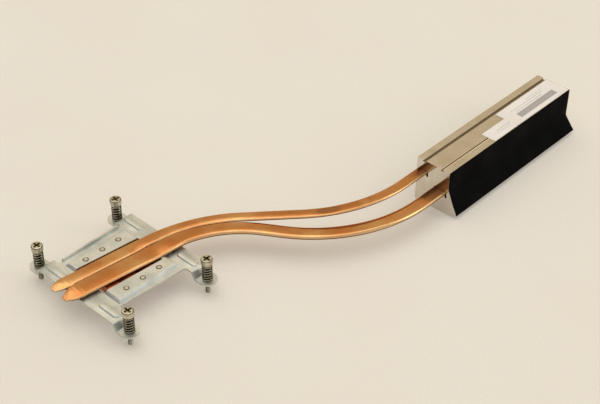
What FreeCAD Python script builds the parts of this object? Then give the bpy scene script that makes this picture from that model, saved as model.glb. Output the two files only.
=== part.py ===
"""Processor heatsink with a remote fin stack: sprung bracket, copper base, two flat heat pipes and fins.

Millimetres, +Z up. The origin is the centre of the base plate's contact face, which faces down.
X and Y are the directions of the screw rectangle, and the fin stack lies along +Y.
"""
import FreeCAD
import Part
import math
import os

V = FreeCAD.Vector
UP = V(0, 0, 1)
LENGTH_TOLERANCE = 1e-6
PARALLEL_COSINE = 0.999

# Screw rectangle
SCREW_SPACING_X = 80.0
SCREW_SPACING_Y = 60.0

# Base plate with its staked studs
BASE_SIZE_X = 42.0
BASE_SIZE_Y = 39.0
BASE_THICKNESS = 5.0
BASE_CORNER = 2.0
STUD_EDGE_DISTANCE = 3.0
STUD_SPACING_Y = 12.5
STUD_ROW_COUNT = 3
STUD_R = 1.35
STUD_PROUD = 0.1
STUD_CLEARANCE = 0.35

# Bracket, pressed from one sheet
SHEET = 1.2
PANEL_RISE = 2.0
PANEL_OVERHANG_X = 1.6
PANEL_OVERHANG_Y = 1.9
PANEL_WALL_RUN = 1.5
PANEL_EDGE_FILLET = 1.1
ARM_WIDTH = 11.8
EAR_FLAT_LENGTH = 4.3
EAR_DROP = 4.6
EAR_BEND_RUN = 2.2
ARM_END_LENGTH = 2.6
BEND_RADIUS = 0.9
BACK_RAIL_WIDTH = 5.1
FRONT_RAIL_WIDTH = 2.3
FRONT_EDGE_SLANT = 3.2
FRAME_CORNER = 1.5
FILLET_SHARE = 0.9
LIP_HEIGHT = 1.7
LIP_CORNER = 0.5
BEAD_HEIGHT = 0.8
BEAD_WIDTH = 5.0
BEAD_WALL_RUN = 0.7
BEAD_START_X = 15.5
BEAD_END_GAP = 1.6
SLOT_REAR_GAP = 0.7
SLOT_FRONT_GAP = 2.4
SLOT_FRONT_HEADING = 4.1

# Sprung screws and their retaining rings
SHANK_R = 1.5
EAR_HOLE_R = 1.8
TIP_BELOW_EAR = 10.4
TIP_CHAMFER = 0.5
HEAD_R = 3.6
HEAD_HEIGHT = 3.6
HEAD_CHAMFER = 0.5
RECESS_LENGTH = 5.0
RECESS_WIDTH = 1.4
RECESS_DEPTH = 1.9
GROOVE_DEPTH = 0.35
RING_THICKNESS = 0.6
RING_OUTER_R = 3.0
RING_MOUTH = 1.9
RING_CLEARANCE = 0.08
RING_SIDES = 16
SPRING_LENGTH = 11.8
SPRING_TOP_GAP = 0.05
SPRING_OUTER_R = 3.3
SPRING_WIRE = 0.8
SPRING_END_GAP = 0.1
SPRING_TURNS = 7
SPRING_STEPS_PER_TURN = 9

# Flattened heat pipes: pressed flat on the base, a little fuller beyond it
REAR_PIPE_X = -7.1
REAR_PIPE_HEADING = 6.1
REAR_PIPE_START_Y = -42.5
REAR_PIPE_BEND_Y = 54.4
REAR_PIPE_BEND_R = 84.7
REAR_PIPE_STACK_X = 75.5
REAR_PIPE_STACK_HEIGHT = 23.8
REAR_PIPE_RETURN_Y = 127.2
REAR_PIPE_RETURN_R = 85.6
REAR_PIPE_FLAT_WIDTH = 8.9
REAR_PIPE_FLAT_THICKNESS = 2.2
REAR_PIPE_WIDTH = 7.6
REAR_PIPE_THICKNESS = 2.6
FRONT_PIPE_X = 4.4
FRONT_PIPE_HEADING = 6.9
FRONT_PIPE_START_Y = -43.0
FRONT_PIPE_BEND_Y = 61.3
FRONT_PIPE_BEND_R = 68.0
FRONT_PIPE_STACK_X = 89.8
FRONT_PIPE_STACK_HEIGHT = 15.6
FRONT_PIPE_RETURN_Y = 114.0
FRONT_PIPE_RETURN_R = 95.4
FRONT_PIPE_FLAT_WIDTH = 12.0
FRONT_PIPE_FLAT_THICKNESS = 2.8
FRONT_PIPE_WIDTH = 9.8
FRONT_PIPE_THICKNESS = 3.5
PIPE_SWELL_LENGTH = 9.0
PIPE_STRAIGHT_BEFORE_BEND = 2.0
PIPE_TAPER_LENGTH = 11.0
PIPE_TAPER_STEPS = 4
PIPE_NIB_LENGTH = 1.4
PIPE_NIB_WIDTH = 4.2
PIPE_NIB_THICKNESS = 1.7
PIPE_END_PROUD = 2.0

# Fin stack
FIN_COUNT = 40
FIN_THICKNESS = 0.4
STACK_BACK_X = 70.9
STACK_DEPTH = 25.6
STACK_START_Y = 183.3
STACK_LENGTH = 128.8
STACK_HEIGHT = 32.4
FIN_HOLE_SIDE_GAP = 0.12
REAR_SLOT_X = 76.9
REAR_SLOT_WIDTH = 2.2
FRONT_SLOT_X = 90.7
FRONT_SLOT_WIDTH = 0.7
SLOT_RELIEF = 0.6
SLOT_RELIEF_DEPTH = 1.3
END_NOTCH_WIDTH = 1.5
END_NOTCH_LENGTH = 1.5
GUSSET_GAP = 0.5

# Film flap on the fin stack's front face
FLAP_THICKNESS = 0.4
FLAP_FLARE = 8.1
FLAP_LOWER_EDGE_HEIGHT = 2.9
FLAP_BEND_HEIGHT_NEAR = 20.0
FLAP_BEND_HEIGHT_FAR = 12.0

# Two-piece label on the fin stack's top face
LABEL_THICKNESS = 0.15
LABEL_FRONT_MARGIN = 0.4
LARGE_LABEL_WIDTH = 17.5
LARGE_LABEL_LENGTH = 57.6
LARGE_LABEL_END_MARGIN = 0.5
SMALL_LABEL_WIDTH = 10.6
SMALL_LABEL_LENGTH = 24.0

# Levels that follow from the sizes above
BASE_TOP = BASE_THICKNESS
PANEL_TOP = BASE_TOP + SHEET
FRAME_TOP = PANEL_TOP - PANEL_RISE
FRAME_BOTTOM = FRAME_TOP - SHEET
EAR_TOP = FRAME_TOP - EAR_DROP
EAR_BOTTOM = EAR_TOP - SHEET
FLOOR_Z = EAR_TOP - TIP_BELOW_EAR
HEAD_UNDERSIDE = EAR_TOP + SPRING_LENGTH + SPRING_TOP_GAP
STACK_TOP = FLOOR_Z + STACK_HEIGHT
STACK_FRONT_X = STACK_BACK_X + STACK_DEPTH
STACK_END_Y = STACK_START_Y + STACK_LENGTH
FIN_PITCH = (STACK_LENGTH - FIN_THICKNESS) / (FIN_COUNT - 1)
PANEL_HALF_X = BASE_SIZE_X / 2 + PANEL_OVERHANG_X
PANEL_HALF_Y = BASE_SIZE_Y / 2 + PANEL_OVERHANG_Y
BACK_EDGE_X = PANEL_HALF_X + PANEL_WALL_RUN + BACK_RAIL_WIDTH
FRONT_EDGE_X = PANEL_HALF_X + PANEL_WALL_RUN + FRONT_RAIL_WIDTH
ARM_REACH = SCREW_SPACING_X / 2 - EAR_FLAT_LENGTH - EAR_BEND_RUN
ARM_Y = SCREW_SPACING_Y / 2
ARM_INNER_Y = ARM_Y - ARM_WIDTH / 2
SCREW_PLACES = [
    (sx * SCREW_SPACING_X / 2, sy * SCREW_SPACING_Y / 2)
    for sx, sy in ((-1, -1), (-1, 1), (1, 1), (1, -1))
]
STUD_PLACES = [
    (side * (BASE_SIZE_X / 2 - STUD_EDGE_DISTANCE), (row - (STUD_ROW_COUNT - 1) / 2) * STUD_SPACING_Y)
    for side in (-1, 1)
    for row in range(STUD_ROW_COUNT)
]


def slope(degrees):
    return math.tan(math.radians(degrees))


def polygon_face(points):
    return Part.Face(Part.makePolygon(list(points) + [points[0]]))


def prism(outline, z_low, z_high):
    """Upright prism over a plan outline of (x, y) points."""
    face = polygon_face([V(x, y, z_low) for x, y in outline])
    return face.extrude(UP * (z_high - z_low))


def block(x0, x1, y0, y1, z0, z1):
    return Part.makeBox(x1 - x0, y1 - y0, z1 - z0, V(x0, y0, z0))


def facing_out(solid):
    """The solid with its faces turned outwards."""
    if solid.Volume < 0:
        solid.reverse()
    return solid


def edges_along(shape, direction):
    """Straight edges of a shape that run along a direction."""
    found = []
    for edge in shape.Edges:
        if not isinstance(edge.Curve, Part.Line):
            continue
        if abs(edge.tangentAt(edge.FirstParameter).dot(direction)) > PARALLEL_COSINE:
            found.append(edge)
    return found


def upright_edge_at(shape, x, y):
    def distance(edge):
        return math.hypot(edge.BoundBox.XMin - x, edge.BoundBox.YMin - y)

    return min(edges_along(shape, UP), key=distance)


def edges_at_height(shape, z):
    box_edges = []
    for edge in shape.Edges:
        box = edge.BoundBox
        if abs(box.ZMin - z) < LENGTH_TOLERANCE and abs(box.ZMax - z) < LENGTH_TOLERANCE:
            box_edges.append(edge)
    return box_edges


def rounded_path(points, radii):
    """Wire of straight runs joined by tangent arcs, one radius for each inner point."""
    edges = []
    start = points[0]
    for corner, before, after, radius in zip(points[1:-1], points, points[2:], radii):
        back = (before - corner).normalize()
        ahead = (after - corner).normalize()
        half = back.getAngle(ahead) / 2
        reach = radius / math.tan(half)
        bisector = (back + ahead).normalize()
        middle = corner + bisector * (radius / math.sin(half) - radius)
        arc_start = corner + back * reach
        arc_end = corner + ahead * reach
        edges.append(Part.LineSegment(start, arc_start).toShape())
        edges.append(Part.Arc(arc_start, middle, arc_end).toShape())
        start = arc_end
    edges.append(Part.LineSegment(start, points[-1]).toShape())
    return Part.Wire(edges)


def flat_section(centre, width, thickness, heading):
    """Flat tube section, square to a level heading in degrees from +Y towards +X."""
    side = V(math.cos(math.radians(heading)), -math.sin(math.radians(heading)), 0)
    reach = side * ((width - thickness) / 2)
    half = UP * (thickness / 2)
    edges = [
        Part.LineSegment(centre - reach + half, centre + reach + half).toShape(),
        Part.Arc(centre + reach + half, centre + side * (width / 2), centre + reach - half).toShape(),
        Part.LineSegment(centre + reach - half, centre - reach - half).toShape(),
        Part.Arc(centre - reach - half, centre - side * (width / 2), centre - reach + half).toShape(),
    ]
    return Part.Wire(edges)


def sheet_shift(rise, run):
    """How far a bend's line moves along the level from one face of the sheet to the other."""
    return SHEET * math.tan(math.atan2(rise, run) / 2)


def joggle_profile(start_x, bend_x, run, drop, end_x, z_top):
    """Face in the XZ plane of a sheet that steps down by drop over run, with both bends rounded."""
    step = math.copysign(run, end_x - start_x)
    shift = math.copysign(sheet_shift(drop, run), step)
    low = z_top - drop
    top = [V(start_x, 0, z_top), V(bend_x, 0, z_top), V(bend_x + step, 0, low), V(end_x, 0, low)]
    bottom = [point - UP * SHEET for point in top]
    for corner in (1, 2):
        bottom[corner].x -= shift
    outer_radius = BEND_RADIUS + SHEET
    upper = rounded_path(top, [outer_radius, BEND_RADIUS])
    lower = rounded_path(bottom, [BEND_RADIUS, outer_radius])
    ends = [Part.LineSegment(top[i], bottom[i]).toShape() for i in (0, -1)]
    return Part.Face(Part.Wire(Part.__sortEdges__(upper.Edges + lower.Edges + ends)))


def raised_block(half_x, half_y, z_low, z_high, run):
    """Block with sloping sides, for a pressed panel: full size at the top, wider by run at the bottom."""
    low = [(half_x + run, half_y + run), (-half_x - run, half_y + run)]
    low += [(-half_x - run, -half_y - run), (half_x + run, -half_y - run)]
    high = [(half_x, half_y), (-half_x, half_y), (-half_x, -half_y), (half_x, -half_y)]
    wires = []
    for outline, z in ((low, z_low), (high, z_high)):
        corners = [V(x, y, z) for x, y in outline]
        wires.append(Part.makePolygon(corners + [corners[0]]))
    return Part.makeLoft(wires, True, True)


def oblong_wire(x0, x1, y, width, z):
    """Level outline with round ends, along X between two end points."""
    half = width / 2
    left = x0 + half
    right = x1 - half
    edges = [
        Part.LineSegment(V(left, y + half, z), V(right, y + half, z)).toShape(),
        Part.Arc(V(right, y + half, z), V(x1, y, z), V(right, y - half, z)).toShape(),
        Part.LineSegment(V(right, y - half, z), V(left, y - half, z)).toShape(),
        Part.Arc(V(left, y - half, z), V(x0, y, z), V(left, y + half, z)).toShape(),
    ]
    return Part.Wire(edges)


def bead(x0, x1, y, z_low, height, width, run):
    """Pressed bead: an oblong that narrows by run on each side over its height."""
    foot = oblong_wire(x0, x1, y, width, z_low)
    crown = oblong_wire(x0 + run, x1 - run, y, width - 2 * run, z_low + height)
    return Part.makeLoft([foot, crown], True, True)


def base_plate():
    plate = block(-BASE_SIZE_X / 2, BASE_SIZE_X / 2, -BASE_SIZE_Y / 2, BASE_SIZE_Y / 2, 0, BASE_TOP)
    plate = plate.makeFillet(BASE_CORNER, edges_along(plate, UP))
    height = SHEET + STUD_PROUD
    for x, y in STUD_PLACES:
        plate = plate.fuse(Part.makeCylinder(STUD_R, height, V(x, y, BASE_TOP)))
    return plate.removeSplitter()


def flat_frame():
    """The bracket's flat: two arms joined by a front and a back rail, with rounded corners between them."""
    outer = ARM_Y + ARM_WIDTH / 2
    inner = ARM_INNER_Y
    lean = slope(FRONT_EDGE_SLANT) * inner
    end = ARM_REACH - ARM_END_LENGTH
    front_rail = [(FRONT_EDGE_X - lean, -inner), (FRONT_EDGE_X + lean, inner)]
    back_rail = [(-BACK_EDGE_X, inner), (-BACK_EDGE_X, -inner)]
    outline = [(-end, -outer), (end, -outer), (end, -inner)] + front_rail
    outline += [(end, inner), (end, outer), (-end, outer), (-end, inner)] + back_rail + [(-end, -inner)]
    frame = prism(outline, FRAME_BOTTOM, FRAME_TOP)
    for x, y in front_rail + back_rail:
        radius = min(FRAME_CORNER, FILLET_SHARE * abs(end - abs(x)))
        frame = frame.makeFillet(radius, [upright_edge_at(frame, x, y)])
    return frame


def pipe_slot():
    """Cutter between the two panels: along the rear pipe's side, with a wedge left before the front one."""
    low = FRAME_BOTTOM - SHEET
    high = PANEL_TOP + SHEET
    reach = PANEL_HALF_Y + PANEL_WALL_RUN
    rear_x = REAR_PIPE_X - REAR_PIPE_FLAT_WIDTH / 2 - SLOT_REAR_GAP
    front_x = FRONT_PIPE_X + FRONT_PIPE_FLAT_WIDTH / 2 + SLOT_FRONT_GAP
    rear_lean = slope(REAR_PIPE_HEADING) * reach
    front_lean = slope(SLOT_FRONT_HEADING) * reach
    outline = [
        (rear_x - rear_lean, -reach), (front_x - front_lean, -reach),
        (front_x + front_lean, reach), (rear_x + rear_lean, reach),
    ]
    return prism(outline, low, high)


def ear(x, y):
    """Dropped ear at the end of an arm, with a round end about its screw."""
    side = 1 if x > 0 else -1
    root = ARM_REACH - ARM_END_LENGTH
    profile = joggle_profile(side * root, side * ARM_REACH, EAR_BEND_RUN, EAR_DROP, x, FRAME_TOP)
    strip = profile.extrude(V(0, ARM_WIDTH, 0))
    strip.translate(V(0, y - ARM_WIDTH / 2, 0))
    return strip.fuse(Part.makeCylinder(ARM_WIDTH / 2, SHEET, V(x, y, EAR_BOTTOM)))


def mounting_bracket():
    panel = raised_block(PANEL_HALF_X, PANEL_HALF_Y, FRAME_TOP, PANEL_TOP, PANEL_WALL_RUN)
    panel = panel.makeFillet(PANEL_EDGE_FILLET, edges_at_height(panel, PANEL_TOP))
    inset = sheet_shift(PANEL_RISE, PANEL_WALL_RUN)
    hollow = raised_block(PANEL_HALF_X - inset, PANEL_HALF_Y - inset, FRAME_BOTTOM, BASE_TOP, PANEL_WALL_RUN)
    lip = block(
        -BACK_EDGE_X, -BACK_EDGE_X + SHEET, -PANEL_HALF_Y, PANEL_HALF_Y, FRAME_BOTTOM, FRAME_TOP + LIP_HEIGHT
    )
    lip = lip.makeFillet(LIP_CORNER, [e for e in edges_along(lip, V(1, 0, 0)) if e.BoundBox.ZMin > FRAME_TOP])
    bracket = flat_frame().multiFuse([panel, lip])
    bracket = bracket.cut(hollow).cut(pipe_slot())

    for x, y in SCREW_PLACES:
        side = 1 if x > 0 else -1
        ends = sorted((side * BEAD_START_X, side * (ARM_REACH - BEAD_END_GAP)))
        raised = bead(ends[0], ends[1], y, FRAME_TOP, BEAD_HEIGHT, BEAD_WIDTH, BEAD_WALL_RUN)
        pressed = bead(
            ends[0] + BEAD_WALL_RUN, ends[1] - BEAD_WALL_RUN, y, FRAME_BOTTOM, BEAD_HEIGHT,
            BEAD_WIDTH - 2 * BEAD_WALL_RUN, BEAD_WALL_RUN,
        )
        bracket = bracket.multiFuse([raised, ear(x, y)]).cut(pressed)
        bracket = bracket.cut(Part.makeCylinder(EAR_HOLE_R, 3 * SHEET, V(x, y, EAR_BOTTOM - SHEET)))
    for x, y in STUD_PLACES:
        hole = Part.makeCylinder(STUD_R + STUD_CLEARANCE, 3 * SHEET, V(x, y, BASE_TOP - SHEET))
        bracket = bracket.cut(hole)
    return bracket.removeSplitter()


def heat_pipe(x, heading, start_y, bend_y, bend_r, stack_x, stack_height, return_y, return_r,
              flat_width, flat_thickness, width, thickness):
    """Sealed flat pipe: a blunt pinched end, a flat run on the base, two bends, a level run in the fins."""
    def on_base(y, tall):
        return V(x + slope(heading) * y, y, BASE_TOP + tall / 2)

    stack_z = FLOOR_Z + stack_height
    bend = on_base(bend_y, thickness)
    turn_back = V(stack_x, return_y, stack_z)
    end = V(stack_x, STACK_END_Y + PIPE_END_PROUD, stack_z)
    level = V(math.sin(math.radians(heading)), math.cos(math.radians(heading)), 0)
    bend_reach = bend_r * math.tan(level.getAngle(turn_back - bend) / 2)
    full_y = bend_y - level.y * (bend_reach + PIPE_STRAIGHT_BEFORE_BEND)

    sections = [(start_y, PIPE_NIB_WIDTH, PIPE_NIB_THICKNESS)]
    for step in range(PIPE_TAPER_STEPS + 1):
        share = step / PIPE_TAPER_STEPS
        swell = math.sin(share * math.pi / 2)
        sections.append((
            start_y + PIPE_NIB_LENGTH + PIPE_TAPER_LENGTH * share,
            PIPE_NIB_WIDTH + (flat_width - PIPE_NIB_WIDTH) * swell,
            PIPE_NIB_THICKNESS + (flat_thickness - PIPE_NIB_THICKNESS) * swell,
        ))
    sections.append((full_y - PIPE_SWELL_LENGTH, flat_width, flat_thickness))
    sections.append((full_y, width, thickness))
    wires = [flat_section(on_base(y, tall), wide, tall, heading) for y, wide, tall in sections]
    flat_run = Part.makeLoft(wires, True, True)

    path = rounded_path([on_base(full_y, thickness), bend, turn_back, end], [bend_r, return_r])
    sweep = Part.BRepOffsetAPI.MakePipeShell(path)
    sweep.setBiNormalMode(UP)
    sweep.add(wires[-1])
    sweep.build()
    sweep.makeSolid()
    return facing_out(flat_run).fuse(facing_out(sweep.shape())).removeSplitter()


def front_heat_pipe():
    return heat_pipe(
        FRONT_PIPE_X, FRONT_PIPE_HEADING, FRONT_PIPE_START_Y, FRONT_PIPE_BEND_Y, FRONT_PIPE_BEND_R,
        FRONT_PIPE_STACK_X, FRONT_PIPE_STACK_HEIGHT, FRONT_PIPE_RETURN_Y, FRONT_PIPE_RETURN_R,
        FRONT_PIPE_FLAT_WIDTH, FRONT_PIPE_FLAT_THICKNESS, FRONT_PIPE_WIDTH, FRONT_PIPE_THICKNESS,
    )


def rear_heat_pipe():
    return heat_pipe(
        REAR_PIPE_X, REAR_PIPE_HEADING, REAR_PIPE_START_Y, REAR_PIPE_BEND_Y, REAR_PIPE_BEND_R,
        REAR_PIPE_STACK_X, REAR_PIPE_STACK_HEIGHT, REAR_PIPE_RETURN_Y, REAR_PIPE_RETURN_R,
        REAR_PIPE_FLAT_WIDTH, REAR_PIPE_FLAT_THICKNESS, REAR_PIPE_WIDTH, REAR_PIPE_THICKNESS,
    )


def pipe_opening(x, height, width, thickness):
    """Eight-sided outline in the XZ plane that seats on the pipe's flat sides."""
    half = thickness / 2
    reach = width / 2 + FIN_HOLE_SIDE_GAP
    flat = reach - half + half * math.tan(math.pi / 8)
    rise = half * math.tan(math.pi / 8)
    z = FLOOR_Z + height
    return [
        (x + flat, z - half), (x + reach, z - rise), (x + reach, z + rise), (x + flat, z + half),
        (x - flat, z + half), (x - reach, z + rise), (x - reach, z - rise), (x - flat, z - half),
    ]


def upright_slab(outline, y):
    """One fin thickness of sheet over an outline of (x, z) points."""
    return polygon_face([V(x, y, z) for x, z in outline]).extrude(V(0, FIN_THICKNESS, 0))


def end_gusset(y):
    """Outer fin's triangular wing, which closes the wedge between the stack's front and the flared flap."""
    low = FLOOR_Z + FLAP_LOWER_EDGE_HEIGHT
    high = FLOOR_Z + FLAP_BEND_HEIGHT_NEAR - GUSSET_GAP
    tip = STACK_FRONT_X + FLAP_FLARE - FLAP_THICKNESS - GUSSET_GAP
    return upright_slab([(STACK_FRONT_X, low), (tip, low), (STACK_FRONT_X, high)], y)


def fin_plate(y, is_end):
    """Flat of one fin, with its two pipe openings and a relief in the top edge under each solder slot."""
    pipes = (
        (REAR_PIPE_STACK_X, REAR_PIPE_STACK_HEIGHT, REAR_PIPE_WIDTH, REAR_PIPE_THICKNESS),
        (FRONT_PIPE_STACK_X, FRONT_PIPE_STACK_HEIGHT, FRONT_PIPE_WIDTH, FRONT_PIPE_THICKNESS),
    )
    outline = [
        (STACK_BACK_X, FLOOR_Z), (STACK_FRONT_X, FLOOR_Z),
        (STACK_FRONT_X, STACK_TOP), (STACK_BACK_X, STACK_TOP),
    ]
    plate = upright_slab(outline, y)
    cutters = []
    for x, height, width, thickness in pipes:
        opening = upright_slab(pipe_opening(x, height, width, thickness), y)
        if is_end:
            edge = x + width / 2
            top = FLOOR_Z + height
            foot = top - thickness / 2 - END_NOTCH_LENGTH
            half = END_NOTCH_WIDTH / 2
            opening = opening.fuse(block(edge - half, edge + half, y, y + FIN_THICKNESS, foot, top))
        cutters.append(opening)
    for x, width in ((REAR_SLOT_X, REAR_SLOT_WIDTH), (FRONT_SLOT_X, FRONT_SLOT_WIDTH)):
        half = width / 2 + SLOT_RELIEF
        foot = STACK_TOP - SLOT_RELIEF_DEPTH
        cutters.append(block(x - half, x + half, y, y + FIN_THICKNESS, foot, STACK_TOP))
    return plate.cut(cutters)


def fin(number):
    """One fin: all but the last have flanges that butt against the next fin and close the top and the bottom.

    The first carries the gusset behind the flap's near end.
    """
    y = STACK_START_Y + (number - 1) * FIN_PITCH
    plate = fin_plate(y, number in (1, FIN_COUNT))
    if number == FIN_COUNT:
        return plate
    near = y
    far = y + FIN_PITCH
    half_rear = REAR_SLOT_WIDTH / 2
    half_front = FRONT_SLOT_WIDTH / 2
    spans = (
        (STACK_BACK_X, REAR_SLOT_X - half_rear),
        (REAR_SLOT_X + half_rear, FRONT_SLOT_X - half_front),
        (FRONT_SLOT_X + half_front, STACK_FRONT_X),
    )
    flanges = [block(x0, x1, near, far, STACK_TOP - FIN_THICKNESS, STACK_TOP) for x0, x1 in spans]
    flanges.append(block(STACK_BACK_X, STACK_FRONT_X, near, far, FLOOR_Z, FLOOR_Z + FIN_THICKNESS))
    if number == 1:
        flanges.append(end_gusset(y))
    return plate.multiFuse(flanges).removeSplitter()


def screw(x, y):
    """Captive screw: cross-recess head, shank with a ring groove under the ear, chamfered tip."""
    groove_top = EAR_BOTTOM + RING_CLEARANCE
    groove_bottom = EAR_BOTTOM - RING_THICKNESS - RING_CLEARANCE
    head_top = HEAD_UNDERSIDE + HEAD_HEIGHT
    groove_r = SHANK_R - GROOVE_DEPTH
    profile = [
        (0, FLOOR_Z), (SHANK_R - TIP_CHAMFER, FLOOR_Z), (SHANK_R, FLOOR_Z + TIP_CHAMFER),
        (SHANK_R, groove_bottom), (groove_r, groove_bottom), (groove_r, groove_top), (SHANK_R, groove_top),
        (SHANK_R, HEAD_UNDERSIDE), (HEAD_R, HEAD_UNDERSIDE), (HEAD_R, head_top - HEAD_CHAMFER),
        (HEAD_R - HEAD_CHAMFER, head_top), (0, head_top),
    ]
    turned = polygon_face([V(r, 0, z) for r, z in profile]).revolve(V(0, 0, 0), UP, 360)
    half_length = RECESS_LENGTH / 2
    half_width = RECESS_WIDTH / 2
    foot = head_top - RECESS_DEPTH
    arms = [
        block(-half_length, half_length, -half_width, half_width, foot, head_top),
        block(-half_width, half_width, -half_length, half_length, foot, head_top),
    ]
    turned = turned.cut(arms[0].fuse(arms[1]))
    turned.translate(V(x, y, 0))
    return turned


def retaining_ring(x, y):
    """Open ring in the screw's groove, against the underside of the ear."""
    inner_r = SHANK_R - GROOVE_DEPTH + RING_CLEARANCE
    faces = []
    for radius in (RING_OUTER_R, inner_r / math.cos(math.pi / RING_SIDES)):
        corners = []
        for step in range(RING_SIDES):
            angle = 2 * math.pi * (step + 0.5) / RING_SIDES
            corners.append(V(radius * math.cos(angle), radius * math.sin(angle), 0))
        faces.append(polygon_face(corners))
    ring = faces[0].cut(faces[1]).extrude(UP * RING_THICKNESS)
    half = RING_MOUTH / 2
    ring = ring.cut(block(0, 2 * RING_OUTER_R, -half, half, 0, RING_THICKNESS))
    ring.translate(V(x, y, EAR_BOTTOM - RING_THICKNESS))
    return ring


def compression_spring(x, y):
    """Coil of square wire as short straight facets, its ends closed flat on the ear and under the head."""
    coil_r = SPRING_OUTER_R - SPRING_WIRE / 2
    half = SPRING_WIRE / 2
    rise = SPRING_LENGTH - SPRING_WIRE
    end_rise = SPRING_WIRE + SPRING_END_GAP
    steps = SPRING_TURNS * SPRING_STEPS_PER_TURN
    rings = []
    for step in range(steps + 1):
        turn = step / SPRING_STEPS_PER_TURN
        angle = 2 * math.pi * turn
        climb = (rise - 2 * end_rise) * min(max((turn - 1) / (SPRING_TURNS - 2), 0), 1)
        climb += end_rise * (min(turn, 1) + max(turn - SPRING_TURNS + 1, 0))
        out = V(math.cos(angle), math.sin(angle), 0)
        z = EAR_TOP + half + climb
        centre = V(x, y, z)
        rings.append([
            centre + out * (coil_r + half) - UP * half, centre + out * (coil_r + half) + UP * half,
            centre + out * (coil_r - half) + UP * half, centre + out * (coil_r - half) - UP * half,
        ])
    faces = [polygon_face(rings[0]), polygon_face(rings[-1])]
    for low, high in zip(rings, rings[1:]):
        for corner in range(4):
            following = (corner + 1) % 4
            faces.append(polygon_face([low[corner], low[following], high[corner]]))
            faces.append(polygon_face([low[following], high[following], high[corner]]))
    return Part.Solid(Part.Shell(faces))


def baffle_flap():
    """Film sheet: flat on the stack's front edge at the top, flaring below, from higher up at its near end."""
    wires = []
    for y, bend_height in ((STACK_START_Y, FLAP_BEND_HEIGHT_NEAR), (STACK_END_Y, FLAP_BEND_HEIGHT_FAR)):
        inner = [
            V(STACK_FRONT_X, y, STACK_TOP), V(STACK_FRONT_X, y, FLOOR_Z + bend_height),
            V(STACK_FRONT_X + FLAP_FLARE - FLAP_THICKNESS, y, FLOOR_Z + FLAP_LOWER_EDGE_HEIGHT),
        ]
        outer = [point + V(FLAP_THICKNESS, 0, 0) for point in reversed(inner)]
        wires.append(Part.makePolygon(inner + outer + [inner[0]]))
    return Part.makeLoft(wires, True, True)


def label_pieces():
    front = STACK_FRONT_X - LABEL_FRONT_MARGIN
    far = STACK_END_Y - LARGE_LABEL_END_MARGIN
    meet = far - LARGE_LABEL_LENGTH
    top = STACK_TOP + LABEL_THICKNESS
    large = block(front - LARGE_LABEL_WIDTH, front, meet, far, STACK_TOP, top)
    small = block(front - SMALL_LABEL_WIDTH, front, meet - SMALL_LABEL_LENGTH, meet, STACK_TOP, top)
    return large, small


def main():
    pieces = {
        "base_plate": base_plate(),
        "mounting_bracket": mounting_bracket(),
        "front_heat_pipe": front_heat_pipe(),
        "rear_heat_pipe": rear_heat_pipe(),
        "baffle_flap": baffle_flap(),
    }
    pieces["label_large"], pieces["label_small"] = label_pieces()
    for number, (x, y) in enumerate(SCREW_PLACES, 1):
        pieces[f"mounting_screw_{number}"] = screw(x, y)
        pieces[f"retaining_ring_{number}"] = retaining_ring(x, y)
        pieces[f"compression_spring_{number}"] = compression_spring(x, y)
    for number in range(1, FIN_COUNT + 1):
        pieces[f"fin_{number:02d}"] = fin(number)

    os.makedirs("parts", exist_ok=True)
    for name, shape in pieces.items():
        if len(shape.Solids) != 1 or not shape.isValid():
            print(f"{name}: {len(shape.Solids)} solids, valid {shape.isValid()}")
        shape.exportStep(f"parts/{name}.step")
    print(f"{len(pieces)} pieces")


main()
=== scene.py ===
"""Looks of the heat-pipe processor cooler: formed pieces, finishes, floor, light and camera.

Metres, in the CAD model's frame: +Z is up from the base plate's contact face,
and +Y runs along the fin stack.
"""

import math

import bmesh
import bpy
import numpy as np
from mathutils import Matrix, Vector


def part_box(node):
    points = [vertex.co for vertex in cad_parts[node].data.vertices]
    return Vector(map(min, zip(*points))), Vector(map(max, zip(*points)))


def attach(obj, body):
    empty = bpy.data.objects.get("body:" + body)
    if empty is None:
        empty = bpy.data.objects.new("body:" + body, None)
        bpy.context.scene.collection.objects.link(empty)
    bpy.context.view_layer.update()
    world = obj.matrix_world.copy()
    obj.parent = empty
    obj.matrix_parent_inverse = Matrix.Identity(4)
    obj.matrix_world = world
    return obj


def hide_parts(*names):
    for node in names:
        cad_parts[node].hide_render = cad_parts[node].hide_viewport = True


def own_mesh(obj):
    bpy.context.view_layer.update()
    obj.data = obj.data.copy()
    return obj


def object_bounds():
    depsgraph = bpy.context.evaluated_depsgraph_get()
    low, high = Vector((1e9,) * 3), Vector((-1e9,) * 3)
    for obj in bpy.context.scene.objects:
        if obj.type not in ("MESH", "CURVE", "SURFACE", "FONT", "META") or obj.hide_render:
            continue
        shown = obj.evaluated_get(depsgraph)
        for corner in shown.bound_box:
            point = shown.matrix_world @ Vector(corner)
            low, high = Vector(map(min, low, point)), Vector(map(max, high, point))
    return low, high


MM = 0.001
UP = np.array((0.0, 0.0, 1.0))
SCREW_NUMBERS = (1, 2, 3, 4)

# Camera, fitted to the photograph
CAMERA_PLACE = (0.4785, -0.3642, 0.5246)
CAMERA_HEADING = math.radians(42.84)
CAMERA_PITCH = math.radians(38.52)
CAMERA_ROLL = math.radians(0.53)
CAMERA_LENS = 80.97
CAMERA_SENSOR = 36.0

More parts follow.
